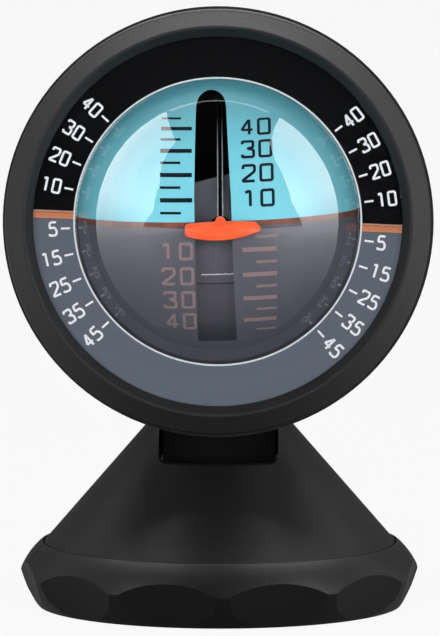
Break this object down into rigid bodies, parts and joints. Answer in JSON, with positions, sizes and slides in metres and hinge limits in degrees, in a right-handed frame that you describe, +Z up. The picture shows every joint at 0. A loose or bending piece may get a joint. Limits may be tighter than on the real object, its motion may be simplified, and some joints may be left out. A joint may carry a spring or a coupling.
{
  "type": "inclinometer",
  "caption": "Dashboard inclinometer: weighted two-colour ball behind a clear dome, dial ring and orange pointer, on a tilting neck and a swivelling conical stand.",
  "frame": {"origin": "centre of the sticky pad's underside, on the stand's vertical axis", "axes": "+Z up along the stand's axis; the dial faces -Y; +X is to the right of the dial"},
  "size_m": [0.0702, 0.0658, 0.0996],
  "materials": {
    "pad": "matte foam",
    "stand_plastic": "fine grained black",
    "bezel_plastic": "satin fine grained black",
    "inner_plastic": "smooth black",
    "washer_plastic": "natural nylon",
    "steel": "zinc plated",
    "weight_steel": "painted grey",
    "dial_print": "printed black over blue-grey",
    "clear": "clear polished dome",
    "sky": "light blue",
    "ground": "dark grey",
    "horizon": "rust brown",
    "pointer_orange": "bright orange",
    "bush": "turned"
  },
  "bodies": {
    "base": {"adhesive_pad": "pad", "base_plate": "inner_plastic", "skirt_front": "stand_plastic", "skirt_rear": "stand_plastic", "base_screws": "steel", "friction_washer": "washer_plastic"},
    "stand": {"turntable": "inner_plastic", "cone_shell": "stand_plastic", "cone_screws": "steel", "hinge_yoke": "inner_plastic", "yoke_screws": "steel", "hinge_pin": "steel", "pin_clips": "steel", "hinge_washers": "steel"},
    "head": {"neck": "inner_plastic", "neck_screws": "steel", "rear_housing": "bezel_plastic", "housing_screws": "steel", "bezel": "bezel_plastic", "dial": "dial_print", "lens": "clear", "roll_shaft": "steel", "shaft_clip": "steel"},
    "gimbal": {"gimbal_yoke": "inner_plastic", "pitch_axle": "steel", "inner_carrier": "inner_plastic", "roll_weight": "weight_steel", "pointer_arm": "inner_plastic", "pointer": "pointer_orange"},
    "ball": {"sky_shell": "sky", "horizon_ring": "horizon", "ground_shell": "ground", "pivot_bushes": "bush", "ball_weight": "weight_steel"}
  },
  "joints": [
    {"name": "base_swivel", "type": "hinge", "parent": "base", "child": "stand", "pos_m": [0, 0, 0.0064], "axis": [0, 0, 1], "continuous": true},
    {"name": "head_tilt", "type": "hinge", "parent": "stand", "child": "head", "pos_m": [0, 0, 0.0205], "axis": [1, 0, 0], "range_deg": [-15, 10]},
    {"name": "roll", "type": "hinge", "parent": "head", "child": "gimbal", "pos_m": [0, -0.00505, 0.06395], "axis": [0, 0.9945, -0.1045], "continuous": true},
    {"name": "pitch", "type": "hinge", "parent": "gimbal", "child": "ball", "pos_m": [0, -0.00505, 0.06395], "axis": [0.9996, 0.0031, 0.0295], "range_deg": [-45, 45]}
  ]
}
